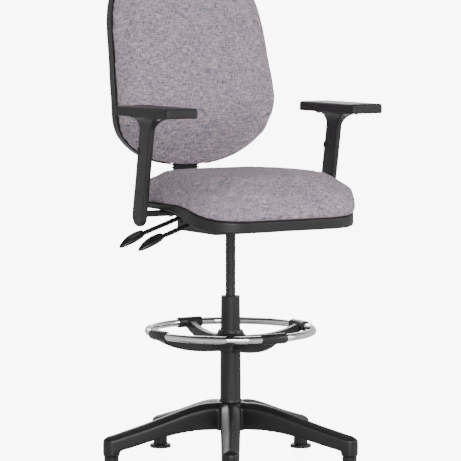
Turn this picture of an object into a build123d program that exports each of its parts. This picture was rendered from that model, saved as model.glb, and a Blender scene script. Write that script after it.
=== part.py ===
from build123d import *
import os
from math import cos, pi, radians, sin, sqrt, tan

# Drafting chair. Millimetres, +Z up, origin on the floor under the column's axis.
# The sitter faces -Y, so the sitter's right is -X. Each function below makes one named sub-part.

# ---- driving dimensions -------------------------------------------------------------------
# Five-leg base
LEG_COUNT = 5
FRONT_LEG_ANGLE = 239.0       # plan direction of the first leg, degrees from +X
GLIDE_REACH = 350.0           # column axis to each glide
LEG_END_RADIUS = 24.2
LEG_UNDERSIDE = 38.0          # height of the leg ends' lower face
HUB_RADIUS = 41.0
HUB_BOTTOM = 96.0
HUB_TOP = 178.0
SHOULDER_SLOPE = tan(radians(33.0))
RIDGE_HALF_WIDTH = 6.5
LEG_WALL = 3.4
LEG_STATIONS = (              # reach, ridge height, underside height, half width
    (26.0, 175.5, 99.0, 29.0),
    (110.0, 170.0, 99.0, 28.0),
    (180.0, 149.0, 90.0, 27.0),
    (287.0, 115.0, 63.0, 25.4),
    (GLIDE_REACH, 97.0, 50.0, LEG_END_RADIUS),
)
GLIDE_RADIUS = 31.0
GLIDE_DISC = 11.0
GLIDE_COLLAR_RADIUS = 20.5
STEM_RADIUS = 5.5

# Gas lift and its sleeve
TUBE_RADIUS = 25.0
TUBE_BORE = 23.0
TUBE_TOP = 474.0
CYLINDER_RADIUS = 14.0
CYLINDER_BOTTOM = 329.0
CYLINDER_TOP = 706.0
CHAMBER_RADIUS = 12.2
ROD_RADIUS = 5.0
PISTON_HEIGHT = 350.0
SLEEVE_TOP = 479.0
SLEEVE_TOP_RADIUS = 26.5
SLEEVE_FOOT_RADIUS = 30.3
SLEEVE_BORE = 25.3
SLEEVE_FLATS = 8
FLAT_DISTANCE = 28.3          # sleeve axis to each of its flats

# Foot ring
RING_HEIGHT = 380.0
RING_RADIUS = 232.0
RING_TUBE_RADIUS = 10.5
RING_CLIP_RADIUS = 15.0
RING_CLIP_ARC = 19.0          # degrees of ring held by each clip
SPIDER_ARMS = 4
SPIDER_ARM_TOP = (364, 362, 364, 375, 390)        # heights from the hub out to the ring
SPIDER_ARM_BOTTOM = (323, 325, 330, 345, 364)
SPIDER_ARM_WIDTH = 24.0
SPIDER_BOTTOM = 322.0
SPIDER_TOP = 383.0
COLLET_WALL = 3.0
RUNNING_GAP = 0.4

# Mechanism under the seat
TRAY_HALF_WIDTH = 108.0
FLANGE_HALF_WIDTH = 128.0
TRAY_FRONT = -95.0
TRAY_REAR = 124.0
TRAY_BOTTOM = 660.0
TRAY_TOP = 735.0
TRAY_WALL = 2.5
RECLINE_Y = 95.0
RECLINE_Z = 690.0
RECLINE_PIN_RADIUS = 5.0

# Levers, both on the sitter's right
LEVER_PIVOT_X = -62.0
LEVER_Z = 707.0
HEIGHT_LEVER_Y = -58.0
BACK_LEVER_Y = 50.0
LEVER_BEND_X = -118.0
LEVER_SLOPE = 18.2            # fall of the shaft, degrees
PADDLE_SLOPE = 26.7           # fall of the paddle, degrees
PADDLE_START_X = -252.0
PADDLE_LENGTH = 84.0
LEVER_ROD_RADIUS = 4.0
PADDLE_ROLL = 28.0
PADDLE_STATIONS = (            # along the paddle, half width, half height
    (0, 8.5, 6.5),
    (9, 12.0, 7.4),
    (30, 14.5, 7.6),
    (52, 13.2, 6.6),
    (70, 9.0, 5.0),
    (80, 5.0, 3.4),
    (84, 2.6, 2.0),
)
SLEEVE_ROOT = 5.6
SLEEVE_CREST = 7.2
SLEEVE_PITCH = 5.0

# Seat
SEAT_HALF_WIDTH = 258.0
SEAT_FRONT = -328.0
SEAT_REAR = 180.0
SEAT_CORNER = 130.0
BORDER_FLAT = 751.0           # height of the edge where fabric meets the undercover
BORDER_FRONT = 714.0
SHELL_FLAT = 735.0            # underside of the undercover
SHELL_FRONT = 685.0
SHELL_WALL = 2.0
BOARD_THICKNESS = 14.0
SEAT_TOP = 833.0
SEAT_EDGE_RADIUS = 60.0

# Backrest
BACK_HALF_WIDTH = 261.0
BACK_BOTTOM = 834.0
BACK_TOP = 1394.0
LUMBAR_HEIGHT = 1017.0
LUMBAR_Y = 192.0
LUMBAR_ROUNDING = 30.0
LUMBAR_SLOPE_BELOW = 0.270
LUMBAR_SLOPE_ABOVE = 0.243
BACK_SHELL_DEPTH = 34.0
BACK_SHELL_WALL = 3.0
BACK_BOARD_THICKNESS = 10.0
BACK_CUSHION_THICKNESS = 36.0
POD_HALF_WIDTH = 62.0
POD_REAR = 296.0
POD_TOP = 1095.0

# Back bar and its bellows
BAR_Y = 254.0
BAR_TOP = 1080.0
BAR_WIDTH = 44.0
BAR_THICKNESS = 6.0
BAR_BEND = 43.0
BELLOWS_START_Y = 136.0
BELLOWS_TOP = 900.0
BELLOWS_PITCH = 8.5

# Arms
ARM_X = 304.5
ARM_LEAN = 10.15              # forward lean of the uprights, degrees
ARM_BASE_Y = -22.0            # upright's axis at ARM_BASE_Z
ARM_BASE_Z = 719.0
ARM_DEPTH = 60.0
ARM_THICKNESS = 18.0
ARM_END_Z = 689.0
ARM_SEAM = 65.0               # along the upright, from ARM_BASE_Z to the seam
ARM_PLATE_TOP = 994.0
ARM_BUTTON = 178.0            # along the upright, from ARM_BASE_Z to the button
UPRIGHT_TOP = 205.0
PLATE_SHIFT = 14.0            # plate's centre ahead of the upright's axis
PAD_LENGTH = 284.0
PAD_WIDTH = 102.0
PAD_THICKNESS = 27.0
PAD_INSET = 6.0
PAD_CENTRE_Y = -106.0
BRACKET_INNER_X = 128.0

ON_BASE = (Align.CENTER, Align.CENTER, Align.MIN)
CORNER = (Align.MIN, Align.MIN, Align.MIN)


# ---- small helpers ------------------------------------------------------------------------
def disc(radius, low, high, x=0.0, y=0.0):
    """Upright cylinder between two heights."""
    return Pos(x, y, low) * Cylinder(radius, high - low, align=ON_BASE)


def frustum(low_radius, low, high_radius, high):
    """Upright cone between two heights."""
    return Pos(0, 0, low) * Cone(low_radius, high_radius, high - low, align=ON_BASE)


def block(x0, x1, y0, y1, z0, z1):
    """Box between two corners."""
    return Pos(x0, y0, z0) * Box(x1 - x0, y1 - y0, z1 - z0, align=CORNER)


def bar_x(radius, x0, x1, y, z):
    """Cylinder along X."""
    return Pos((x0 + x1) / 2, y, z) * Rot(0, 90, 0) * Cylinder(radius, x1 - x0)


def bar_y(radius, y0, y1, x, z):
    """Cylinder along Y."""
    return Pos(x, (y0 + y1) / 2, z) * Rot(90, 0, 0) * Cylinder(radius, y1 - y0)


def across(side, half_width):
    """Side profile in the YZ plane carried across the width in one piece."""
    return Pos(-half_width, 0, 0) * extrude(side, 2 * half_width, dir=(1, 0, 0))


def turned(shape, angle):
    """Shape turned about the column's axis."""
    return Rot(0, 0, angle) * shape


def leg_angles():
    return [FRONT_LEG_ANGLE + k * 360.0 / LEG_COUNT for k in range(LEG_COUNT)]


def glide_places():
    return [(GLIDE_REACH * cos(radians(a)), GLIDE_REACH * sin(radians(a))) for a in leg_angles()]


def group(solids):
    """Several separate solids in one node."""
    return Compound(children=[Solid(s.solids()[0].wrapped) for s in solids])


# ---- five-leg base ------------------------------------------------------------------------
def leg_section(reach, top, bottom, half_width):
    """Section across a leg: a narrow ridge, two sloping shoulders and upright sides."""
    shoulder = top - (half_width - RIDGE_HALF_WIDTH) * SHOULDER_SLOPE
    outline = [
        (-half_width, bottom),
        (half_width, bottom),
        (half_width, shoulder),
        (RIDGE_HALF_WIDTH, top),
        (-RIDGE_HALF_WIDTH, top),
        (-half_width, shoulder),
    ]
    across = Plane(origin=(reach, 0, 0), x_dir=(0, 1, 0), z_dir=(1, 0, 0))
    return across * Polygon(*outline, align=None)


def leg_body():
    """One leg along +X with a round end that carries the glide's socket."""
    body = loft([leg_section(*station) for station in LEG_STATIONS])
    end_top = LEG_STATIONS[-1][1]
    shoulder = end_top - (LEG_END_RADIUS - RIDGE_HALF_WIDTH) * SHOULDER_SLOPE
    end = disc(LEG_END_RADIUS, LEG_UNDERSIDE, shoulder)
    end += frustum(LEG_END_RADIUS, shoulder, RIDGE_HALF_WIDTH, end_top)
    return body + Pos(GLIDE_REACH, 0, 0) * end


def leg_hollow():
    """Space inside a leg, open below, crossed by stiffening ribs."""
    inner = []
    for reach, top, bottom, half_width in LEG_STATIONS:
        inner.append(leg_section(reach, top - LEG_WALL, bottom - 8.0, half_width - LEG_WALL))
    hollow = loft(inner) & block(48, GLIDE_REACH - LEG_END_RADIUS - 4, -60, 60, 0, 200)
    for reach in (105.0, 165.0, 225.0, 280.0):
        hollow -= block(reach, reach + 2.6, -60, 60, 0, 200)
    return hollow - block(0, GLIDE_REACH, -1.3, 1.3, 0, 200)


def star_base():
    hub = disc(HUB_RADIUS, HUB_BOTTOM, HUB_TOP)
    base = fillet(hub.edges().group_by(Axis.Z)[-1], 4)
    for angle in leg_angles():
        base += turned(leg_body(), angle)
    socket = disc(STEM_RADIUS + 0.05, LEG_UNDERSIDE - 1, 84, x=GLIDE_REACH)
    for angle in leg_angles():
        base -= turned(leg_hollow(), angle)
        base -= turned(socket, angle)
    base -= frustum(23.8, HUB_BOTTOM - 4, TUBE_RADIUS + 0.05, HUB_TOP + 0.5)
    return base


def glide_feet():
    feet = []
    for x, y in glide_places():
        foot = disc(GLIDE_RADIUS, 0, GLIDE_DISC, x, y)
        foot = fillet(foot.edges().group_by(Axis.Z)[-1], 5)
        foot = chamfer(foot.edges().group_by(Axis.Z)[0], 1)
        foot += disc(GLIDE_COLLAR_RADIUS, GLIDE_DISC - 2, LEG_UNDERSIDE, x, y)
        feet.append(foot - disc(STEM_RADIUS + 0.05, 8, LEG_UNDERSIDE + 1, x, y))
    return group(feet)


def glide_stems():
    return group([disc(STEM_RADIUS, 8, 80, x, y) for x, y in glide_places()])


# ---- gas lift -----------------------------------------------------------------------------
def gas_outer_tube():
    tube = disc(TUBE_RADIUS, HUB_TOP, TUBE_TOP) + frustum(23.7, HUB_BOTTOM, TUBE_RADIUS, HUB_TOP)
    tube -= disc(TUBE_BORE - 2, HUB_BOTTOM + 4, HUB_TOP + 4)
    tube -= disc(TUBE_BORE, HUB_TOP, TUBE_TOP + 1)
    return tube - disc(ROD_RADIUS + 0.6, HUB_BOTTOM - 1, HUB_BOTTOM + 5)


def sleeve_radius(height):
    """Outer radius of the tapered sleeve, before its flats."""
    share = (SLEEVE_TOP - height) / (SLEEVE_TOP - HUB_TOP)
    return SLEEVE_TOP_RADIUS + share * (SLEEVE_FOOT_RADIUS - SLEEVE_TOP_RADIUS)


def column_sleeve():
    """Tapered sleeve whose flats widen towards the foot, with a skirt on the hub and a lip on top."""
    sleeve = frustum(SLEEVE_FOOT_RADIUS, HUB_TOP, SLEEVE_TOP_RADIUS, SLEEVE_TOP)
    for k in range(SLEEVE_FLATS):
        flat = block(FLAT_DISTANCE, FLAT_DISTANCE + 20, -30, 30, HUB_TOP - 1, SLEEVE_TOP + 1)
        sleeve -= turned(flat, (k + 0.5) * 360.0 / SLEEVE_FLATS)
    sleeve += frustum(SLEEVE_FOOT_RADIUS + 2.2, HUB_TOP, SLEEVE_FOOT_RADIUS, HUB_TOP + 7)
    sleeve -= disc(SLEEVE_BORE, HUB_TOP - 1, TUBE_TOP + 0.5)
    sleeve -= disc(CYLINDER_RADIUS + 0.6, TUBE_TOP, SLEEVE_TOP + 1)
    return chamfer(sleeve.edges().group_by(Axis.Z)[-1].sort_by(SortBy.LENGTH)[-1:], 0.8)


def guide_bush():
    bush = disc(TUBE_BORE - 0.05, 400, TUBE_TOP - 0.5)
    return bush - disc(CYLINDER_RADIUS + 0.05, 399, TUBE_TOP)


def thrust_bearing():
    floor = HUB_BOTTOM + 4
    washers = [
        disc(12, low, low + 2) - disc(ROD_RADIUS + 0.6, low - 1, low + 3)
        for low in (floor, floor + 6)
    ]
    balls = [turned(Pos(8.8, 0, floor + 4) * Sphere(1.98), k * 45.0) for k in range(8)]
    return group(washers + balls)


def piston_rod():
    """Rod with a collar over the thrust bearing and a piston head inside the cylinder."""
    collar_low = HUB_BOTTOM + 4 + 8.3
    rod = disc(ROD_RADIUS, HUB_BOTTOM - 6, PISTON_HEIGHT + 8)
    rod += disc(10, collar_low, collar_low + 4)
    rod += disc(CHAMBER_RADIUS - 0.08, PISTON_HEIGHT, PISTON_HEIGHT + 14)
    groove = disc(ROD_RADIUS + 1, HUB_BOTTOM - 3, HUB_BOTTOM - 1) - disc(4.2, HUB_BOTTOM - 4, HUB_BOTTOM)
    return rod - groove


def rod_clip():
    clip = disc(9, HUB_BOTTOM - 2.9, HUB_BOTTOM - 1.1) - disc(4.25, HUB_BOTTOM - 4, HUB_BOTTOM)
    return clip - block(0, 12, -2, 2, HUB_BOTTOM - 4, HUB_BOTTOM)


def gas_cylinder():
    """Cylinder with a tapered top that seats in the mechanism, and a chamber for the piston."""
    cylinder = disc(CYLINDER_RADIUS, CYLINDER_BOTTOM, TRAY_BOTTOM - 8)
    cylinder += frustum(CYLINDER_RADIUS, TRAY_BOTTOM - 8, 13.0, CYLINDER_TOP)
    cylinder = fillet(cylinder.edges().group_by(Axis.Z)[-1], 1)
    cylinder -= disc(CHAMBER_RADIUS, CYLINDER_BOTTOM + 10, CYLINDER_TOP - 22)
    cylinder -= disc(ROD_RADIUS + 0.06, CYLINDER_BOTTOM - 1, CYLINDER_BOTTOM + 11)
    return cylinder - disc(3.6, CYLINDER_TOP - 12, CYLINDER_TOP + 1)


def gas_valve_pin():
    return disc(3.5, CYLINDER_TOP - 6, CYLINDER_TOP + 6)


# ---- foot ring ----------------------------------------------------------------------------
def foot_ring_tube():
    return Pos(0, 0, RING_HEIGHT) * Torus(RING_RADIUS, RING_TUBE_RADIUS)


def spider_arm():
    """One arm along +X: level near the hub, rising to the ring, with a clip wrapped round the ring."""
    reach = (26, 75, 130, 190, RING_RADIUS - 2)
    top = Spline(*[(x, 0, z) for x, z in zip(reach, SPIDER_ARM_TOP)])
    bottom = Spline(*[(x, 0, z) for x, z in zip(reach, SPIDER_ARM_BOTTOM)])
    ends = [Line(top @ 0, bottom @ 0), Line(top @ 1, bottom @ 1)]
    side = make_face(Wire([top, bottom, *ends]))
    arm = extrude(side, SPIDER_ARM_WIDTH / 2, dir=(0, 1, 0), both=True)
    arm = fillet(arm.edges().filter_by(GeomType.BSPLINE), 4)
    upright = Plane(origin=(0, 0, RING_HEIGHT), x_dir=(1, 0, 0), z_dir=(0, -1, 0))
    rod_section = upright * Pos(RING_RADIUS, 0) * Circle(RING_CLIP_RADIUS)
    clip = turned(revolve(rod_section, Axis.Z, RING_CLIP_ARC), -RING_CLIP_ARC / 2)
    return arm + clip


def foot_ring_spider():
    hub = frustum(36, SPIDER_BOTTOM, 38.5, SPIDER_TOP - 16)
    hub += frustum(38.5, SPIDER_TOP - 16, 34.5, SPIDER_TOP)
    spider = fillet(hub.edges().group_by(Axis.Z)[-1], 1.5)
    spider += frustum(62, 344, 37, 374)
    for k in range(SPIDER_ARMS):
        spider += turned(spider_arm(), k * 360.0 / SPIDER_ARMS)
    spider -= Pos(0, 0, RING_HEIGHT) * Torus(RING_RADIUS, RING_TUBE_RADIUS + 0.05)
    return spider - hub_bore(COLLET_WALL)


def hub_bore(extra):
    """Tapered space round the sleeve, wider than the sleeve by the running gap and a wall."""
    gap = RUNNING_GAP + extra
    low, high = SPIDER_BOTTOM - 2, SPIDER_TOP + 2
    return frustum(sleeve_radius(low) + gap, low, sleeve_radius(high) + gap, high)


def foot_ring_collet():
    collet = hub_bore(COLLET_WALL - 0.05) & disc(60, SPIDER_BOTTOM + 0.5, SPIDER_TOP - 1)
    collet -= hub_bore(0)
    return collet - block(20, 45, -1, 1, SPIDER_BOTTOM - 1, SPIDER_TOP + 1)


# ---- mechanism ----------------------------------------------------------------------------
def tray_bolt_places():
    return [(x, y) for x in (-118.0, 118.0) for y in (-55.0, 95.0)]


def mechanism_housing():
    """Pressed tray with a bolting flange, lever slots, a rear window and ears for the lever pivots."""
    tray = block(-TRAY_HALF_WIDTH, TRAY_HALF_WIDTH, TRAY_FRONT, TRAY_REAR, TRAY_BOTTOM, TRAY_TOP)
    tray = fillet(tray.edges().filter_by(Axis.Z), 16)
    tray = fillet(tray.edges().group_by(Axis.Z)[0], 6)
    half = FLANGE_HALF_WIDTH
    rim = block(-half, half, TRAY_FRONT - 4, TRAY_REAR + 8, TRAY_TOP - TRAY_WALL, TRAY_TOP)
    tray += fillet(rim.edges().filter_by(Axis.Z), 18)
    inner = block(
        -TRAY_HALF_WIDTH + TRAY_WALL,
        TRAY_HALF_WIDTH - TRAY_WALL,
        TRAY_FRONT + TRAY_WALL,
        TRAY_REAR - TRAY_WALL,
        TRAY_BOTTOM + TRAY_WALL,
        TRAY_TOP + 1,
    )
    tray -= fillet(inner.edges().filter_by(Axis.Z), 13)
    for pivot_y in (HEIGHT_LEVER_Y, BACK_LEVER_Y):
        for ear_y in (pivot_y - 10, pivot_y + 7):
            tray += block(-TRAY_HALF_WIDTH + 1, -54, ear_y, ear_y + 3, LEVER_Z - 9, TRAY_TOP - 0.5)
        tray -= bar_y(3.02, pivot_y - 12, pivot_y + 12, LEVER_PIVOT_X, LEVER_Z)
        tray -= block(-130, -80, pivot_y - 6.5, pivot_y + 6.5, LEVER_Z - 8, LEVER_Z + 13)
    tray -= disc(20.05, TRAY_BOTTOM - 1, TRAY_BOTTOM + 4)
    tray -= block(-30, 30, TRAY_REAR - 6, TRAY_REAR + 6, RECLINE_Z - 15, RECLINE_Z + 15)
    tray -= bar_x(RECLINE_PIN_RADIUS + 0.02, -120, 120, RECLINE_Y, RECLINE_Z)
    for x, y in tray_bolt_places():
        tray -= disc(3.1, TRAY_TOP - 5, TRAY_TOP + 1, x, y)
    return tray - seat_slab(SHELL_LINE, raised(SHELL_LINE, 60), 300)


def taper_socket():
    socket = disc(20, TRAY_BOTTOM - 2, CYLINDER_TOP - 8) + disc(25, TRAY_BOTTOM - 5, TRAY_BOTTOM)
    low, high = TRAY_BOTTOM - 8, CYLINDER_TOP
    return socket - frustum(CYLINDER_RADIUS + 0.02, low, 13.02, high)


def lever_pivot_pins():
    places = (HEIGHT_LEVER_Y, BACK_LEVER_Y)
    return group([bar_y(3, y - 11, y + 11, LEVER_PIVOT_X, LEVER_Z) for y in places])


def recline_pin():
    wall = TRAY_HALF_WIDTH
    pin = bar_x(RECLINE_PIN_RADIUS, -wall - 3, wall + 3, RECLINE_Y, RECLINE_Z)
    for side in (-1, 1):
        pin += bar_x(8, *sorted((side * (wall + 0.1), side * (wall + 2.5))), RECLINE_Y, RECLINE_Z)
    return pin


def recline_spring():
    """Torsion spring wound round the recline pin."""
    turns = Helix(pitch=3.4, height=37.4, radius=8.6)
    wire_section = Plane(origin=turns @ 0, z_dir=turns % 0) * Circle(1.2)
    spring = sweep(wire_section, path=turns)
    return Pos(46, RECLINE_Y, RECLINE_Z) * Rot(0, 90, 0) * spring


def recline_lock_plates():
    plates = []
    for side in (-1, 1):
        for k in range(4):
            low = 24.0 + 3.2 * k
            ends = sorted((side * low, side * (low + 2.2)))
            plate = bar_x(14, *ends, RECLINE_Y, RECLINE_Z)
            plates.append(plate - bar_x(RECLINE_PIN_RADIUS + 0.05, -60, 60, RECLINE_Y, RECLINE_Z))
    return group(plates)


def lever_path_point(x):
    """Point on a lever's shaft at a given x, as (x, z)."""
    fall = max(0.0, LEVER_BEND_X - x) * tan(radians(LEVER_SLOPE))
    return x, LEVER_Z - fall


def lever_rod(pivot_y):
    """Bent steel rod with an eye on its pivot pin; it ends inside the paddle."""
    end_x, end_z = lever_path_point(PADDLE_START_X - 14)
    path = FilletPolyline(
        (LEVER_PIVOT_X, pivot_y, LEVER_Z),
        (LEVER_BEND_X, pivot_y, LEVER_Z),
        (end_x, pivot_y, end_z),
        radius=30,
    )
    section = Plane(origin=path @ 0, z_dir=path % 0) * Circle(LEVER_ROD_RADIUS)
    rod = sweep(section, path=path) + bar_y(7, pivot_y - 6, pivot_y + 6, LEVER_PIVOT_X, LEVER_Z)
    return rod - bar_y(3.05, pivot_y - 8, pivot_y + 8, LEVER_PIVOT_X, LEVER_Z)


def height_lever_rod():
    """Rod whose inner finger lies over the gas valve's pin."""
    low = CYLINDER_TOP + 7.3
    y = HEIGHT_LEVER_Y
    finger = block(LEVER_PIVOT_X + 2, 4, y - 5, y + 5, low, low + 5)
    finger += block(-6, 4, y - 5, 5, low, low + 5)
    finger += block(LEVER_PIVOT_X + 2, LEVER_PIVOT_X + 12, y - 5, y + 5, LEVER_Z - 1, low + 2)
    finger -= bar_y(3.05, y - 8, y + 8, LEVER_PIVOT_X, LEVER_Z)
    return lever_rod(y) + finger


def back_lever_rod():
    """Rod whose short inner cam presses the lock plates."""
    y = BACK_LEVER_Y
    cam = block(LEVER_PIVOT_X + 3, LEVER_PIVOT_X + 22, y - 5, y + 5, LEVER_Z - 5, LEVER_Z + 4)
    return lever_rod(y) + (cam - bar_y(3.05, y - 8, y + 8, LEVER_PIVOT_X, LEVER_Z))


def lever_frame(x, pivot_y, slope):
    """Plane on a lever's shaft, whose normal runs down along the shaft away from the seat."""
    px, pz = lever_path_point(x)
    away = (-cos(radians(slope)), 0, -sin(radians(slope)))
    return Plane(origin=(px, pivot_y, pz), x_dir=(0, 1, 0), z_dir=away)


def lever_sleeve(pivot_y):
    """Ribbed grip sleeve on the sloping part of the rod."""
    length = (LEVER_BEND_X - 9 - PADDLE_START_X) / cos(radians(LEVER_SLOPE)) - 2.5
    sleeve = Cylinder(SLEEVE_ROOT, length, align=ON_BASE)
    for k in range(int(length / SLEEVE_PITCH)):
        low = k * SLEEVE_PITCH
        sleeve += Pos(0, 0, low) * Cone(SLEEVE_ROOT, SLEEVE_CREST, 1.5, align=ON_BASE)
        sleeve += Pos(0, 0, low + 1.5) * Cone(SLEEVE_CREST, SLEEVE_ROOT, 1.5, align=ON_BASE)
    sleeve -= Pos(0, 0, -1) * Cylinder(LEVER_ROD_RADIUS + 0.05, length + 2, align=ON_BASE)
    return lever_frame(LEVER_BEND_X - 9, pivot_y, LEVER_SLOPE).location * sleeve


def lever_paddle(pivot_y):
    """Thick leaf-shaped paddle, rolled so that its face looks forward and up."""
    frame = lever_frame(PADDLE_START_X - 0.3, pivot_y, PADDLE_SLOPE)
    sections = []
    for along, half_width, half_height in PADDLE_STATIONS:
        place = Pos(0, -2.0 - 2.0 * sin(pi * along / PADDLE_LENGTH), along) * Rot(0, 0, -PADDLE_ROLL)
        outline = RectangleRounded(2 * half_width, 2 * half_height, 0.85 * half_height)
        sections.append(frame.location * place * outline)
    paddle = loft(sections)
    rod_way = lever_frame(PADDLE_START_X + 4, pivot_y, LEVER_SLOPE)
    bore = rod_way.location * Cylinder(LEVER_ROD_RADIUS + 0.05, 20.0, align=ON_BASE)
    return paddle - bore


# ---- seat ---------------------------------------------------------------------------------
def seat_curve(flat, front, bend_start, bend_end):
    """Edges of a line that is level at the rear and falls in an S-curve to the seat's front."""
    reach = (bend_start - bend_end) * 0.5
    return [
        Line((0, SEAT_REAR + 40, flat), (0, bend_start, flat)),
        Bezier(
            (0, bend_start, flat),
            (0, bend_start - reach, flat),
            (0, bend_end + reach, front),
            (0, bend_end, front),
        ),
        Line((0, bend_end, front), (0, SEAT_FRONT - 40, front)),
    ]


def seat_slab(low, high, half_width):
    """Body across the whole width between two S-curved surfaces."""
    lower, upper = seat_curve(*low), seat_curve(*high)
    rear = Line(lower[0] @ 0, upper[0] @ 0)
    front = Line(lower[-1] @ 1, upper[-1] @ 1)
    return across(make_face(Wire([*lower, *upper, rear, front])), half_width)


def seat_plan(inset, low, high):
    """Upright prism over the seat's rounded outline, drawn in by an inset."""
    width = 2 * (SEAT_HALF_WIDTH - inset)
    length = SEAT_REAR - SEAT_FRONT - 2 * inset
    outline = RectangleRounded(width, length, SEAT_CORNER - inset)
    return Pos(0, (SEAT_REAR + SEAT_FRONT) / 2, low) * extrude(outline, high - low)


BORDER_LINE = (BORDER_FLAT, BORDER_FRONT, -130.0, -350.0)
SHELL_LINE = (SHELL_FLAT, SHELL_FRONT, -60.0, -330.0)


def raised(line, rise):
    """An S-curve's values with both of its heights raised."""
    return (line[0] + rise, line[1] + rise, line[2], line[3])


def seat_shell():
    shell = seat_slab(SHELL_LINE, BORDER_LINE, 300) & seat_plan(0, 600, 800)
    shell = fillet(shell.edges().filter_by(lambda e: e.center().Z < SHELL_FLAT + 1), 5)
    hollow = seat_slab(raised(SHELL_LINE, SHELL_WALL), raised(BORDER_LINE, 10), 300)
    shell -= hollow & seat_plan(3, 600, 800)
    shell -= block(-88, 88, TRAY_FRONT + 6, TRAY_REAR - 6, 700, 760)
    for x, y in tray_bolt_places() + arm_bolt_places():
        shell -= disc(3.1, 700, 760, x, y)
    return shell


def seat_board():
    board = seat_slab(raised(BORDER_LINE, -BOARD_THICKNESS), BORDER_LINE, 300) & seat_plan(4.5, 600, 800)
    for x, y in tray_bolt_places() + arm_bolt_places():
        board -= disc(4.5, 700, 760, x, y)
    return board


def seat_cushion():
    top = (SEAT_TOP, SEAT_TOP, -35.0, -290.0)
    cushion = seat_slab(BORDER_LINE, top, 300) & seat_plan(-4, 600, 900)
    return fillet(cushion.edges().group_by(Axis.Z)[-1], SEAT_EDGE_RADIUS)


def bolt_up(x, y, head_top):
    """Flat-headed bolt driven upwards, with its head under a face at head_top."""
    return disc(6, head_top - 4, head_top, x, y) + disc(3, head_top - 1, SHELL_FLAT + 13, x, y)


def seat_bolts():
    return group([bolt_up(x, y, TRAY_TOP - TRAY_WALL) for x, y in tray_bolt_places()])


def tee_nut(x, y):
    nut = disc(4.4, SHELL_FLAT + 3, BORDER_FLAT - 0.1, x, y)
    return nut - disc(3.03, SHELL_FLAT, SHELL_FLAT + 13.2, x, y)


def seat_tee_nuts():
    return group([tee_nut(x, y) for x, y in tray_bolt_places() + arm_bolt_places()])


# ---- arms ---------------------------------------------------------------------------------
def arm_bolt_places():
    return [(side * x, ARM_BASE_Y) for side in (-1, 1) for x in (BRACKET_INNER_X + 18, BRACKET_INNER_X + 78)]


def arm_frame(side):
    """Frame on an upright at ARM_BASE_Z: Z runs up along the leaning upright, Y to the rear."""
    return Pos(side * ARM_X, ARM_BASE_Y, ARM_BASE_Z) * Rot(ARM_LEAN, 0, 0)


def arm_prism(depth, thickness, low, high, corner, offset=0.0):
    """Rounded bar along the upright, between two distances from its base."""
    outline = RectangleRounded(thickness, depth, corner)
    return Pos(0, offset, low) * extrude(outline, high - low)


UPRIGHT_DEPTH = 26.0
UPRIGHT_THICKNESS = 8.0
UPRIGHT_OFFSET = -5.0


def arm_bracket(side):
    """Steel bracket: a flat tube under the seat welded to the upright inside the arm."""
    x0, x1 = BRACKET_INNER_X, ARM_X + 3.5
    low, high = 716.0, 731.0
    tube = block(x0, x1, ARM_BASE_Y - 22, ARM_BASE_Y + 22, low, high)
    tube = fillet(tube.edges().filter_by(Axis.X), 3)
    tube += block(x0 + 4, x0 + 96, ARM_BASE_Y - 18, ARM_BASE_Y + 18, high - 1, SHELL_FLAT)
    tube -= block(x0 - 1, x1 - 20, ARM_BASE_Y - 19, ARM_BASE_Y + 19, low + 3, high - 3)
    bracket = tube if side > 0 else mirror(tube, Plane.YZ)
    bracket += arm_frame(side) * arm_prism(
        UPRIGHT_DEPTH, UPRIGHT_THICKNESS, -4, UPRIGHT_TOP, 2, UPRIGHT_OFFSET
    )
    for x, y in arm_bolt_places():
        bracket -= disc(3.1, low - 1, SHELL_FLAT + 1, x, y)
    return bracket


def arm_bolts():
    return group([bolt_up(x, y, 716.0) for x, y in arm_bolt_places()])


def arm_lower_cover(side):
    """Fixed lower cover with a half-round end, hollow round the bracket and the upright."""
    radius = ARM_DEPTH / 2
    centre = ARM_END_Z - ARM_BASE_Z + radius
    sides = ((-radius, centre), (-radius, ARM_SEAM), (radius, ARM_SEAM), (radius, centre))
    corners = [(0, y, z) for y, z in sides]
    end = ThreePointArc(corners[3], (0, 0, centre - radius), corners[0])
    outline = Wire([*Polyline(*corners).edges(), end])
    cover = extrude(make_face(outline), ARM_THICKNESS / 2, dir=(1, 0, 0), both=True)
    faces = cover.edges().filter_by(lambda e: abs(e.center().X) > ARM_THICKNESS / 2 - 0.1)
    rim = faces.filter_by(lambda e: e.center().Z < ARM_SEAM - 1)
    cover = arm_frame(side) * fillet(rim, 5)
    cover -= arm_frame(side) * arm_prism(
        UPRIGHT_DEPTH + 0.4, UPRIGHT_THICKNESS + 0.4, -5, ARM_SEAM + 1, 2, UPRIGHT_OFFSET
    )
    x0, x1 = sorted((side * (ARM_X - 20), side * (ARM_X + 3.7)))
    return cover - block(x0, x1, ARM_BASE_Y - 22.3, ARM_BASE_Y + 22.3, 715.7, 731.3)


def arm_flare(side):
    """Concave flare from the shroud into the plate that carries the pad."""
    spread = ((955.0, 0.0, 0.0), (968.0, 5.0, 1.5), (979.0, 16.0, 5.0), (ARM_PLATE_TOP - 4, 40.0, 15.0))
    sections = []
    for height, longer, wider in spread:
        y = ARM_BASE_Y - (height - ARM_BASE_Z) * tan(radians(ARM_LEAN))
        depth = ARM_DEPTH / cos(radians(ARM_LEAN)) + longer * 1.6
        outline = RectangleRounded(ARM_THICKNESS + wider * 2, depth, 6)
        sections.append(Pos(side * ARM_X, y - longer * 0.35, height) * outline)
    return loft(sections)


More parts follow.
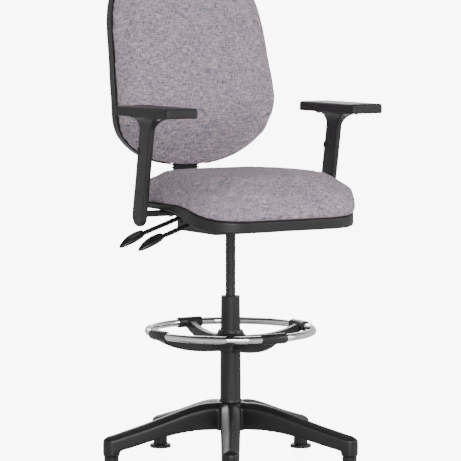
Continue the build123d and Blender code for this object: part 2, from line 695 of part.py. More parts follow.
def arm_shroud(side):
    """Sliding upper part: a hollow shroud on the upright, flared into the plate under the pad."""
    shroud = arm_frame(side) * arm_prism(ARM_DEPTH, ARM_THICKNESS, ARM_SEAM + 0.5, 246, 6)
    boss = bar_x(10.5, -ARM_THICKNESS / 2, ARM_THICKNESS / 2, ARM_DEPTH / 2 - 8.5, ARM_BUTTON)
    shroud += arm_frame(side) * boss
    shroud += arm_flare(side)
    top_y = ARM_BASE_Y - (ARM_PLATE_TOP - ARM_BASE_Z) * tan(radians(ARM_LEAN))
    plate = extrude(RectangleRounded(58, 154, 12), 4)
    plate_x = side * (ARM_X - PAD_INSET / 2)
    shroud += Pos(plate_x, top_y - PLATE_SHIFT, ARM_PLATE_TOP - 4) * plate
    shroud -= arm_frame(side) * arm_prism(
        UPRIGHT_DEPTH + 0.8, UPRIGHT_THICKNESS + 0.8, ARM_SEAM - 1, UPRIGHT_TOP + 6, 2, UPRIGHT_OFFSET
    )
    hole = bar_x(7.3, -30, 30, ARM_DEPTH / 2 - 8.5, ARM_BUTTON)
    shroud -= arm_frame(side) * hole
    for x, y in pad_screw_places(side):
        shroud -= disc(2.6, ARM_PLATE_TOP - 6, ARM_PLATE_TOP + 1, x, y)
    return shroud


def pad_screw_places(side):
    top_y = ARM_BASE_Y - (ARM_PLATE_TOP - ARM_BASE_Z) * tan(radians(ARM_LEAN))
    x = side * (ARM_X - PAD_INSET / 2)
    return [(x + dx, top_y - PLATE_SHIFT + dy) for dy in (-69.5, 69.5) for dx in (-18.0, 18.0)]


def arm_pad(side):
    pad = extrude(RectangleRounded(PAD_WIDTH, PAD_LENGTH, 11), PAD_THICKNESS)
    pad = fillet(pad.edges().group_by(Axis.Z)[-1], 7)
    pad = fillet(pad.edges().group_by(Axis.Z)[0], 4)
    pad = Pos(side * (ARM_X - PAD_INSET), PAD_CENTRE_Y, ARM_PLATE_TOP) * pad
    for x, y in pad_screw_places(side):
        pad -= disc(2.53, ARM_PLATE_TOP - 1, ARM_PLATE_TOP + 14, x, y)
    return pad


def arm_pad_screws(side):
    screws = []
    for x, y in pad_screw_places(side):
        head = disc(4.5, ARM_PLATE_TOP - 7, ARM_PLATE_TOP - 4, x, y)
        screws.append(head + disc(2.5, ARM_PLATE_TOP - 5, ARM_PLATE_TOP + 13, x, y))
    return group(screws)


def arm_button(side):
    """Round push button that passes through the shroud behind the upright."""
    button = bar_x(7, -ARM_THICKNESS / 2 - 2, ARM_THICKNESS / 2 + 2, ARM_DEPTH / 2 - 8.5, ARM_BUTTON)
    button = fillet(button.edges().filter_by(GeomType.CIRCLE), 1.2)
    return arm_frame(side) * button


# ---- back bar -----------------------------------------------------------------------------
def bar_path(start_y, top):
    """Line of the bent bar: level under the seat, then straight up behind it."""
    return FilletPolyline((0, start_y, RECLINE_Z), (0, BAR_Y, RECLINE_Z), (0, BAR_Y, top), radius=BAR_BEND)


def along(path, section):
    """Section swept along a path from its start."""
    start = Plane(origin=path @ 0, x_dir=(1, 0, 0), z_dir=path % 0)
    return sweep(start * section, path=path)


def back_bar():
    bar = along(bar_path(RECLINE_Y, BAR_TOP), Rectangle(BAR_WIDTH, BAR_THICKNESS))
    bar += bar_x(11, -BAR_WIDTH / 2, BAR_WIDTH / 2, RECLINE_Y, RECLINE_Z)
    return bar - bar_x(RECLINE_PIN_RADIUS + 0.06, -60, 60, RECLINE_Y, RECLINE_Z)


def back_bar_bellows():
    """Ribbed rubber cover that follows the bent bar."""
    path = bar_path(BELLOWS_START_Y, BELLOWS_TOP)
    bellows = along(path, RectangleRounded(76, 20, 7))
    count = int(path.length / BELLOWS_PITCH)
    for k in range(count):
        share = (k + 0.5) / count
        place = Plane(origin=path @ share, x_dir=(1, 0, 0), z_dir=path % share)
        bellows += extrude(place * RectangleRounded(86, 25, 8), 1.5, both=True)
    hole = Rectangle(BAR_WIDTH + 0.2, BAR_THICKNESS + 0.2)
    core = along(bar_path(BELLOWS_START_Y - 5, BELLOWS_TOP + 5), hole)
    return bellows - core


# ---- backrest -----------------------------------------------------------------------------
def back_border(z):
    """Distance behind the column of the border where fabric meets cover: a hyperbola over height."""
    rise = z - LUMBAR_HEIGHT
    slope = LUMBAR_SLOPE_ABOVE if rise > 0 else LUMBAR_SLOPE_BELOW
    return LUMBAR_Y + slope * (sqrt(rise * rise + LUMBAR_ROUNDING**2) - LUMBAR_ROUNDING)


def back_slab(front, rear):
    """Body between the border surface moved back by two distances."""
    heights = [BACK_BOTTOM - 34 + 44 * k for k in range(15)]
    near = Spline(*[(0, back_border(z) + front, z) for z in heights])
    far = Spline(*[(0, back_border(z) + rear, z) for z in heights])
    side = make_face(Wire([near, far, Line(near @ 0, far @ 0), Line(near @ 1, far @ 1)]))
    return across(side, 300)


def back_plan(inset):
    """Prism along Y over the back's egg-shaped outline, drawn in by an inset all round."""
    half = [
        (0, 0),
        (112, 14),
        (190, 50),
        (242, 104),
        (BACK_HALF_WIDTH, 182),
        (255, 318),
        (234, 475),
        (204, 524),
        (140, 552),
        (0, BACK_TOP - BACK_BOTTOM),
    ]
    narrower = 1 - inset / BACK_HALF_WIDTH
    shorter = 1 - 2 * inset / (BACK_TOP - BACK_BOTTOM)
    low = BACK_BOTTOM + inset
    right = [(x * narrower, 0, low + rise * shorter) for x, rise in half]
    left = [(-x, 0, z) for x, _, z in reversed(right[1:-1])]
    outline = make_face(Wire([Spline(*right, *left, periodic=True)]))
    return Pos(0, 100, 0) * extrude(outline, 300, dir=(0, 1, 0))


def rims(body):
    """The two long edges round the back's outline, the front one first."""
    long_edges = body.edges().filter_by(lambda e: e.length > 2 * BACK_HALF_WIDTH)
    return long_edges.sort_by(lambda e: e.center().Y)


def back_shell():
    """Outer cover: a tray round the board, with a pod behind for the bar and its slide."""
    shell = back_slab(0, BACK_SHELL_DEPTH) & back_plan(0)
    shell = fillet(rims(shell)[-1:], 7.5)
    shell -= back_slab(-5, BACK_SHELL_DEPTH - BACK_SHELL_WALL) & back_plan(3.5)
    pod_face = Plane(origin=(0, 180, 0), x_dir=(1, 0, 0), z_dir=(0, 1, 0))
    height = POD_TOP - BACK_BOTTOM - 4
    outline = pod_face * Pos(0, -(POD_TOP - height / 2)) * RectangleRounded(2 * POD_HALF_WIDTH, height, 20)
    pod = extrude(outline, POD_REAR - 180)
    pod = fillet(pod.edges().group_by(Axis.Y)[-1], 14)
    pod &= back_slab(BACK_SHELL_DEPTH - 12, 200)
    shell += pod
    wall = 3.5
    way = block(
        -POD_HALF_WIDTH + wall, POD_HALF_WIDTH - wall, 190, POD_REAR - wall, BACK_BOTTOM - 20, POD_TOP - wall
    )
    return shell - fillet(way.edges().filter_by(Axis.Z).sort_by(Axis.Y)[-2:], 10)


def back_screw_places():
    return [(x, z) for x in (-17.0, 17.0) for z in (965.0, 1020.0)]


def back_board():
    board = back_slab(0, BACK_BOARD_THICKNESS) & back_plan(4.5)
    board -= block(-52, 52, 150, 300, BACK_BOTTOM - 10, 906)
    for x, z in back_screw_places():
        board -= bar_y(3.1, 150, 230, x, z)
    return board


def back_carrier():
    """Sliding carrier on the board's rear, with a slot for the bar."""
    carrier = block(-29, 29, 180, 264, 945, 1040) & back_slab(BACK_BOARD_THICKNESS, 200)
    carrier -= block(-22.4, 22.4, BAR_Y - 3.4, BAR_Y + 3.4, 900, 1100)
    for x, z in back_screw_places():
        carrier -= bar_y(3.03, 150, 241, x, z)
    return carrier


def back_screws():
    screws = []
    for x, z in back_screw_places():
        front = back_border(z) + 1.5
        screws.append(bar_y(3, front, 240, x, z))
    return group(screws)


def back_cushion():
    cushion = back_slab(-BACK_CUSHION_THICKNESS, 0) & back_plan(-2)
    return fillet(rims(cushion)[:1], 16)


# ---- write every node ---------------------------------------------------------------------
NODES = {
    "star_base": star_base,
    "glide_feet": glide_feet,
    "glide_stems": glide_stems,
    "gas_outer_tube": gas_outer_tube,
    "column_sleeve": column_sleeve,
    "guide_bush": guide_bush,
    "thrust_bearing": thrust_bearing,
    "piston_rod": piston_rod,
    "rod_clip": rod_clip,
    "foot_ring_tube": foot_ring_tube,
    "foot_ring_spider": foot_ring_spider,
    "foot_ring_collet": foot_ring_collet,
    "gas_cylinder": gas_cylinder,
    "gas_valve_pin": gas_valve_pin,
    "mechanism_housing": mechanism_housing,
    "taper_socket": taper_socket,
    "lever_pivot_pins": lever_pivot_pins,
    "recline_pin": recline_pin,
    "recline_spring": recline_spring,
    "recline_lock_plates": recline_lock_plates,
    "seat_board": seat_board,
    "seat_shell": seat_shell,
    "seat_cushion": seat_cushion,
    "seat_bolts": seat_bolts,
    "seat_tee_nuts": seat_tee_nuts,
    "arm_bolts": arm_bolts,
    "height_lever_rod": height_lever_rod,
    "height_lever_sleeve": lambda: lever_sleeve(HEIGHT_LEVER_Y),
    "height_lever_paddle": lambda: lever_paddle(HEIGHT_LEVER_Y),
    "back_lever_rod": back_lever_rod,
    "back_lever_sleeve": lambda: lever_sleeve(BACK_LEVER_Y),
    "back_lever_paddle": lambda: lever_paddle(BACK_LEVER_Y),
    "back_bar": back_bar,
    "back_bar_bellows": back_bar_bellows,
    "back_carrier": back_carrier,
    "back_board": back_board,
    "back_shell": back_shell,
    "back_cushion": back_cushion,
    "back_screws": back_screws,
}
SIDED_NODES = {
    "arm_bracket": arm_bracket,
    "arm_lower_cover": arm_lower_cover,
    "arm_shroud": arm_shroud,
    "arm_pad": arm_pad,
    "arm_pad_screws": arm_pad_screws,
    "arm_button": arm_button,
}

os.makedirs("parts", exist_ok=True)
for name, make in NODES.items():
    export_step(make(), f"parts/{name}.step")
for name, make in SIDED_NODES.items():
    export_step(make(1), f"parts/{name}_left.step")
    export_step(make(-1), f"parts/{name}_right.step")
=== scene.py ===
"""Studio look of a tall drafting chair, laid over its packed assembly.

The chair stands on the floor at z = 0 with its gas column on the Z axis, and the sitter faces -Y.
Rigid parts keep their solid shapes and get procedural finishes. The two upholstered cushions are
swollen with a cloth simulation and replace the plain solids.
"""

from __future__ import annotations
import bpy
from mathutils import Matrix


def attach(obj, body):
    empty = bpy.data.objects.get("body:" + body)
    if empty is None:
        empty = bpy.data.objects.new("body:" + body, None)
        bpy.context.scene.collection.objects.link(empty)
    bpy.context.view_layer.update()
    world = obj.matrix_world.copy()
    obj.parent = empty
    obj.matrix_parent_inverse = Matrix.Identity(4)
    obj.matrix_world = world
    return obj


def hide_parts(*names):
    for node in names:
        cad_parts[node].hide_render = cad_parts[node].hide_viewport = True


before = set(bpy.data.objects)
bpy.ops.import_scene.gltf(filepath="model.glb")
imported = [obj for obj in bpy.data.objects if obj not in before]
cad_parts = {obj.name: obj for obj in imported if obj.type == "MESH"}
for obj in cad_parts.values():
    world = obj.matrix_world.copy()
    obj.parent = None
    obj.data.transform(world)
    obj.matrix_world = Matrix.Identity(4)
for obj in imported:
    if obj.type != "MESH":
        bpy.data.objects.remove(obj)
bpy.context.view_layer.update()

import logging  # noqa: E402
import math  # noqa: E402
from dataclasses import dataclass  # noqa: E402
from enum import Enum  # noqa: E402
from typing import Dict, Iterable, List, Optional, Tuple, Union  # noqa: E402

import bmesh  # noqa: E402
import bpy  # noqa: E402
import numpy as np  # noqa: E402
from mathutils import Matrix, Vector  # noqa: E402

log = logging.getLogger("drafting_chair")

Colour = Tuple[float, float, float]
Setting = Union["Wire", float, Colour]

WHITE: Colour = (1.0, 1.0, 1.0)
HEM_HEIGHT = 0.751  # z of the seat cushion's hem behind the front bend, in metres
HEM_DROP = 0.037  # how far the hem falls at the waterfall front
HEM_BEND = (0.130, 0.350)  # distances in front of the column between which it falls
BAND = 0.010  # height of the slices in which the front or rear of the back is looked up


# ---------------------------------------------------------------- shader expressions


class Wire:
    """One node output that can stand in a sum, a difference or a product."""

    def __init__(self, graph: "Graph", socket: bpy.types.NodeSocket) -> None:
        """Keep the output and the graph it belongs to.

        Args:
            graph: the graph that new Math nodes are added to.
            socket: the output that this wire carries.
        """
        self.graph = graph
        self.socket = socket

    def __add__(self, other: Setting) -> "Wire":
        """This plus other."""
        return self.graph.math("ADD", self, other)

    def __radd__(self, other: Setting) -> "Wire":
        """Other plus this."""
        return self.graph.math("ADD", other, self)

    def __sub__(self, other: Setting) -> "Wire":
        """This minus other."""
        return self.graph.math("SUBTRACT", self, other)

    def __rsub__(self, other: Setting) -> "Wire":
        """Other minus this."""
        return self.graph.math("SUBTRACT", other, self)

    def __mul__(self, other: Setting) -> "Wire":
        """This times other."""
        return self.graph.math("MULTIPLY", self, other)

    def __rmul__(self, other: Setting) -> "Wire":
        """Other times this."""
        return self.graph.math("MULTIPLY", other, self)

    def sine(self) -> "Wire":
        """The sine of this, in radians."""
        return self.graph.math("SINE", self, 0.0)

    def between(self, low: float, high: float) -> "Wire":
        """Zero below low and one above high, with a smooth step in between.

        Args:
            low: the value at which the step starts.
            high: the value at which the step ends.

        Returns:
            A wire from 0 to 1.
        """
        settings = {"interpolation_type": "SMOOTHSTEP"}
        values = {"Value": self, "From Min": low, "From Max": high}
        return self.graph.node("ShaderNodeMapRange", settings, values).wire("Result")


class Box:
    """A node that was added to a graph, with its outputs at hand as wires."""

    def __init__(self, graph: "Graph", node: bpy.types.Node) -> None:
        """Keep the node and its graph.

        Args:
            graph: the graph that the node is in.
            node: the node itself.
        """
        self.graph = graph
        self.node = node

    def wire(self, output: Union[str, int] = 0) -> Wire:
        """The named or numbered output as a wire."""
        return Wire(self.graph, self.node.outputs[output])


class Graph:
    """A node tree and the expressions that are written into it."""

    def __init__(self, tree: bpy.types.NodeTree) -> None:
        """Start with an empty tree.

        Args:
            tree: the material's or the world's node tree.
        """
        self.tree = tree
        self.tree.nodes.clear()

    def node(
        self,
        kind: str,
        settings: Optional[Dict[str, object]] = None,
        values: Optional[Dict[Union[str, int], Setting]] = None,
    ) -> Box:
        """Add any node.

        Args:
            kind: the node's type.
            settings: its own settings, set first; "stops" fills a colour ramp.
            values: numbers, colours or wires for its sockets.

        Returns:
            The node in its box.
        """
        made = self.tree.nodes.new(kind)
        for key, value in (settings or {}).items():
            if key == "stops":
                self._fill_ramp(made, value)
            else:
                setattr(made, key, value)
        box = Box(self, made)
        for key, value in (values or {}).items():
            self.feed(made.inputs[key], value)
        return box

    def feed(self, socket: bpy.types.NodeSocket, value: Setting) -> None:
        """Link a wire to a socket, or set the socket's own value.

        Args:
            socket: the socket to fill.
            value: a wire, a number or a colour.
        """
        if isinstance(value, Wire):
            self.tree.links.new(value.socket, socket)
        elif socket.type == "RGBA":
            socket.default_value = (*value, 1.0)
        else:
            socket.default_value = value

    @staticmethod
    def _fill_ramp(node: bpy.types.Node, stops: List[Tuple[float, Colour]]) -> None:
        """Give a colour ramp its stops.

        Args:
            node: the ColorRamp node.
            stops: pairs of place and colour, in rising order.
        """
        ramp = node.color_ramp
        while len(ramp.elements) > 1:
            ramp.elements.remove(ramp.elements[-1])
        ramp.elements[0].position = stops[0][0]
        ramp.elements[0].color = (*stops[0][1], 1.0)
        for place, colour in stops[1:]:
            ramp.elements.new(place).color = (*colour, 1.0)

    def math(self, operation: str, first: Setting, second: Setting) -> Wire:
        """One Math node on two values."""
        return self.node("ShaderNodeMath", {"operation": operation}, {0: first, 1: second}).wire()

    def place(self, scale: Tuple[float, float, float] = (1, 1, 1), source: str = "Object") -> Wire:
        """Texture coordinates, stretched along the axes.

        Args:
            scale: factor on each axis.
            source: the coordinate output that is read, Object or UV.

        Returns:
            A vector wire.
        """
        start = self.node("ShaderNodeTexCoord").wire(source)
        return self.node("ShaderNodeMapping", None, {"Vector": start, "Scale": scale}).wire()

    def noise(self, where: Wire, scale: float, detail: float = 2.0, rough: float = 0.5) -> Wire:
        """Cloudy noise from 0 to 1.

        Args:
            where: the coordinates.
            scale: cells per metre.
            detail: octaves.
            rough: share of the finer octaves.

        Returns:
            The noise as a number.
        """
        values = {"Vector": where, "Scale": scale, "Detail": detail, "Roughness": rough}
        return self.node("ShaderNodeTexNoise", None, values).wire(0)

    def ramp(self, factor: Wire, stops: List[Tuple[float, Colour]]) -> Wire:
        """Colour read off a ramp at factor."""
        return self.node("ShaderNodeValToRGB", {"stops": stops}, {"Fac": factor}).wire("Color")

    def mix(self, factor: Setting, first: Setting, second: Setting) -> Wire:
        """Blend two colours.

        Args:
            factor: the share of the second, 0 to 1.
            first: the first colour.
            second: the second colour.

        Returns:
            The blended colour.
        """
        colours = {0: factor, 6: first, 7: second}
        return self.node("ShaderNodeMix", {"data_type": "RGBA"}, colours).wire(2)


class Surface(Graph):
    """A material whose surface is one Principled shader and the expressions that feed it."""

    def __init__(self, name: str) -> None:
        """Start an empty material.

        Args:
            name: the material's name.
        """
        self.material = bpy.data.materials.new(name)
        self.material.use_nodes = True
        super().__init__(self.material.node_tree)
        self.shader = self.node("ShaderNodeBsdfPrincipled")
        self.output = self.node("ShaderNodeOutputMaterial")
        self.feed(self.output.node.inputs["Surface"], self.shader.wire("BSDF"))

    def bump(self, height: Wire, depth: float, strength: float = 1.0) -> None:
        """Raise the surface by height.

        Args:
            height: a number wire from 0 to 1.
            depth: how far one unit of height stands up, in metres.
            strength: share of the full effect.
        """
        values = {"Height": height, "Distance": depth, "Strength": strength}
        self.set(Normal=self.node("ShaderNodeBump", None, values).wire("Normal"))

    def set(self, **values: Setting) -> None:
        """Fill the shader's sockets; an underscore in a name stands for a space."""
        for key, value in values.items():
            self.feed(self.shader.node.inputs[key.replace("_", " ")], value)


def shade(colour: Colour, factor: float) -> Colour:
    """The colour with each channel multiplied by factor."""
    return tuple(min(1.0, channel * factor) for channel in colour)


# ---------------------------------------------------------------- finishes


@dataclass(frozen=True)
class MouldedPlastic:
    """Injection-moulded nylon or polypropylene with a fine eroded grain and light scuffs."""

    name: str
    colour: Colour
    roughness: float = 0.42
    grain: float = 1400.0
    relief: float = 0.00010
    scuffs: float = 0.0

    def material(self) -> bpy.types.Material:
        """Build the material: cloudy tone, grain bump and, where asked, pale scuffs.

        Returns:
            The material.
        """
        g = Surface(self.name)
        where = g.place()
        cloud = g.noise(where, 9.0, 3.0)
        grain = g.noise(where, self.grain, 2.0, 0.6)
        tone = g.ramp(cloud, [(0.3, shade(self.colour, 0.86)), (0.7, shade(self.colour, 1.14))])
        rub = g.noise(g.place((40.0, 40.0, 260.0)), 1.0, 4.0, 0.65).between(0.60, 0.74)
        patch = g.noise(where, 6.0, 1.0).between(0.5, 0.62)
        worn = rub * patch * self.scuffs
        g.set(Base_Color=g.mix(worn, tone, shade(self.colour, 2.4)))
        g.set(Roughness=self.roughness + (cloud - 0.5) * 0.14 + grain * 0.06 + worn * 0.12)
        g.bump(grain + worn * 0.4, self.relief, 0.55)
        return g.material


@dataclass(frozen=True)
class PlatedMetal:
    """Bright metal: chrome, zinc or spring steel, told apart by colour and roughness."""

    name: str
    colour: Colour
    roughness: float
    brushing: float = 0.0
    smears: float = 0.05

    def material(self) -> bpy.types.Material:
        """Build the material: full metal with smears and, where asked, fine turning lines.

        Returns:
            The material.
        """
        g = Surface(self.name)
        where = g.place()
        smear = g.noise(where, 17.0, 3.0)
        lines = g.noise(g.place((30.0, 30.0, 2400.0)), 1.0, 2.0)
        tint = g.ramp(smear, [(0.25, shade(self.colour, 0.93)), (0.75, self.colour)])
        g.set(Base_Color=tint, Metallic=1.0)
        smeared = smear.between(0.45, 0.75) * self.smears
        g.set(Roughness=self.roughness + smeared + lines * self.brushing)
        g.bump(lines, 0.00002, 0.25 if self.brushing else 0.05)
        return g.material


@dataclass(frozen=True)
class Lacquer:
    """Paint or powder coat on steel, with a trace of orange peel."""

    name: str
    colour: Colour
    roughness: float = 0.32
    peel: float = 420.0
    coat: float = 0.25

    def material(self) -> bpy.types.Material:
        """Build the material: near-black paint, cloudy gloss and orange-peel bump.

        Returns:
            The material.
        """
        g = Surface(self.name)
        where = g.place()
        cloud = g.noise(where, 12.0, 2.0)
        peel = g.noise(where, self.peel, 1.0)
        tone = g.ramp(cloud, [(0.3, shade(self.colour, 0.9)), (0.7, shade(self.colour, 1.1))])
        g.set(Base_Color=tone)
        g.set(Roughness=self.roughness + (cloud - 0.5) * 0.1, Coat_Weight=self.coat)
        g.bump(peel, 0.00006, 0.4)
        return g.material


@dataclass(frozen=True)
class SoftSkin:
    """Rubber or self-skinned foam: dull, slightly dusty and faintly pebbled."""

    name: str
    colour: Colour
    roughness: float = 0.62
    pebble: float = 700.0
    dust: float = 0.25

    def material(self) -> bpy.types.Material:
        """Build the material: dark skin, dust in patches and a pebbled bump.

        Returns:
            The material.
        """
        g = Surface(self.name)
        where = g.place()
        dusty = g.noise(where, 22.0, 4.0, 0.6).between(0.42, 0.72)
        pebble = g.noise(where, self.pebble, 2.0)
        g.set(Base_Color=g.mix(dusty * self.dust, self.colour, shade(self.colour, 2.1)))
        g.set(Roughness=self.roughness + dusty * 0.08)
        g.bump(pebble, 0.00014, 0.5)
        return g.material


@dataclass(frozen=True)
class BeechPly:
    """Moulded beech plywood, stained dark: straight grain and small flecks."""

    name: str
    pale: Colour = (0.075, 0.060, 0.048)
    dark: Colour = (0.035, 0.028, 0.022)

    def material(self) -> bpy.types.Material:
        """Build the material: stretched grain noise, flecks and a dull lacquer.

        Returns:
            The material.
        """
        g = Surface(self.name)
        grain = g.noise(g.place((7.0, 90.0, 620.0)), 1.0, 4.0, 0.6)
        fleck = g.noise(g.place((160.0, 700.0, 700.0)), 1.0, 1.0).between(0.62, 0.7)
        wood = g.ramp(grain, [(0.35, self.dark), (0.6, self.pale)])
        g.set(Base_Color=g.mix(fleck * 0.5, wood, self.dark), Roughness=0.55 + grain * 0.1)
        g.bump(grain, 0.0001, 0.3)
        return g.material


@dataclass(frozen=True)
class MelangeCloth:
    """Plain-weave upholstery cloth of mixed yarns: grey-mauve with rose, blue-grey and dark slubs.

    The cloth's own UV map holds metres on the flat cloth, so a thread is a thread everywhere.
    """

    name: str
    base: Colour = (0.380, 0.312, 0.370)
    rose: Colour = (0.62, 0.41, 0.43)
    slate: Colour = (0.25, 0.31, 0.41)
    shadow: Colour = (0.10, 0.085, 0.105)
    pale: Colour = (0.74, 0.68, 0.72)
    pitch: float = 0.00125

    def yarn(self, g: Surface, across: Tuple[float, float, float], seed: float) -> Wire:
        """Colour of one set of yarns, in streaks that run along the thread.

        Args:
            g: the material's graph.
            across: how often the streaks change along u, v and depth, per metre.
            seed: shift of the noise, so that warp and weft differ.

        Returns:
            The yarn's colour.
        """
        start = g.place(across, "UV")
        values = {0: start, 1: (seed, seed * 0.7, seed * 1.3)}
        where = g.node("ShaderNodeVectorMath", {"operation": "ADD"}, values).wire()
        streak = g.noise(where, 1.0, 1.5, 0.5)
        stops = [
            (0.33, self.shadow),
            (0.43, self.slate),
            (0.50, self.base),
            (0.57, self.rose),
            (0.66, self.pale),
        ]
        return g.ramp(streak, stops)

    def material(self) -> bpy.types.Material:
        """Build the material: warp and weft colours chosen by a plain weave, with woven relief.

        The weave is sin(u k) sin(v k) with k = pi / pitch: where it is positive the warp lies on
        top, and elsewhere the weft does.

        Returns:
            The material.
        """
        g = Surface(self.name)
        warp = self.yarn(g, (420.0, 64.0, 1.0), 3.0)
        weft = self.yarn(g, (64.0, 420.0, 1.0), 11.0)
        flat = g.place(source="UV")
        parts = g.node("ShaderNodeSeparateXYZ", None, {0: flat})
        turn = math.pi / self.pitch
        weave = (parts.wire("X") * turn).sine() * (parts.wire("Y") * turn).sine()
        over = weave.between(-0.35, 0.35)
        slow = g.noise(flat, 14.0, 3.0, 0.6)
        woven = g.mix(over, warp, weft)
        mottled = g.mix(0.7, woven, g.mix(0.5, warp, weft))
        toned = g.mix(slow.between(0.25, 0.8) * 0.18, mottled, self.shadow)
        fuzz = g.noise(flat, 2600.0, 1.0)
        g.set(Base_Color=toned, Roughness=0.86 + fuzz * 0.08)
        g.set(Sheen_Weight=0.06, Sheen_Roughness=0.45, Specular_IOR_Level=0.25)
        g.bump(weave * weave + fuzz * 0.35, 0.00030, 0.6)
        return g.material


# ---------------------------------------------------------------- pieces


def dress(nodes: Iterable[str], material: bpy.types.Material) -> None:
    """Give carried-over solids a finish.

    Args:
        nodes: names of the solids.
        material: the finish for all their slots.
    """
    for name in nodes:
        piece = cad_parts[name]
        if not piece.material_slots:
            piece.data.materials.append(material)
        for held in piece.material_slots:
            held.material = material
        log.info("dressed %s in %s", name, material.name)


def coordinates(mesh: bpy.types.Mesh) -> np.ndarray:
    """All vertex places of a mesh as an n by 3 array."""
    flat = np.empty(len(mesh.vertices) * 3, np.float32)
    mesh.vertices.foreach_get("co", flat)
    return flat.reshape(-1, 3).astype(float)


def outward(mesh: bpy.types.Mesh) -> np.ndarray:
    """All vertex normals of a mesh as an n by 3 array."""
    flat = np.empty(len(mesh.vertices) * 3, np.float32)
    mesh.vertex_normals.foreach_get("vector", flat)
    return flat.reshape(-1, 3).astype(float)


def step(value: np.ndarray, low: float, high: float) -> np.ndarray:
    """Smooth step t * t * (3 - 2 t), with t from 0 at low to 1 at high."""
    t = np.clip((value - low) / (high - low), 0.0, 1.0)
    return t * t * (3.0 - 2.0 * t)


def rounded_copy(name: str, node: str, voxel: float, passes: int) -> bpy.types.Object:
    """Copy a solid, close its loose triangles, remesh it to even quads and round its edges.

    Args:
        name: the new piece's name.
        node: the solid that is copied.
        voxel: size of the quads, in metres.
        passes: how often each vertex moves halfway to the middle of its neighbours.

    Returns:
        A linked object with the new mesh.
    """
    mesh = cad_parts[node].data.copy()
    work = bmesh.new()
    work.from_mesh(mesh)
    bmesh.ops.remove_doubles(work, verts=work.verts, dist=0.00005)
    bmesh.ops.recalc_face_normals(work, faces=work.faces)
    work.to_mesh(mesh)
    work.free()
    piece = bpy.data.objects.new(name, mesh)
    bpy.context.scene.collection.objects.link(piece)
    even = piece.modifiers.new("Even", "REMESH")
    even.mode = "VOXEL"
    even.voxel_size = voxel
    smooth = piece.modifiers.new("Round", "SMOOTH")
    smooth.factor, smooth.iterations = 0.5, passes
    bpy.context.view_layer.update()
    graph = bpy.context.evaluated_depsgraph_get()
    made = bpy.data.meshes.new_from_object(piece.evaluated_get(graph))
    made.name = name
    piece.modifiers.clear()
    piece.data = made
    made.polygons.foreach_set("use_smooth", np.ones(len(made.polygons), bool))
    return piece


@dataclass
class SoftEdged:
    """A moulding whose sharp solid edges are rounded as the real mould leaves them."""

    name: str
    node: str
    body: str
    slot: str
    voxel: float
    passes: int

    def build(self, material: bpy.types.Material) -> bpy.types.Object:
        """Make the rounded moulding and let it stand for the plain solid.

        Args:
            material: the moulding's finish.

        Returns:
            The finished object.
        """
        piece = rounded_copy(self.name, self.node, self.voxel, self.passes)
        piece.data.materials.clear()
        piece.data.materials.append(material)
        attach(piece, self.body)
        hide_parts(self.node)
        log.info("moulding %s with %d faces", self.name, len(piece.data.polygons))
        return piece


class Facing(Enum):
    """Which way the sat-on side of a cushion looks."""

    UP = 2
    FORWARD = 1


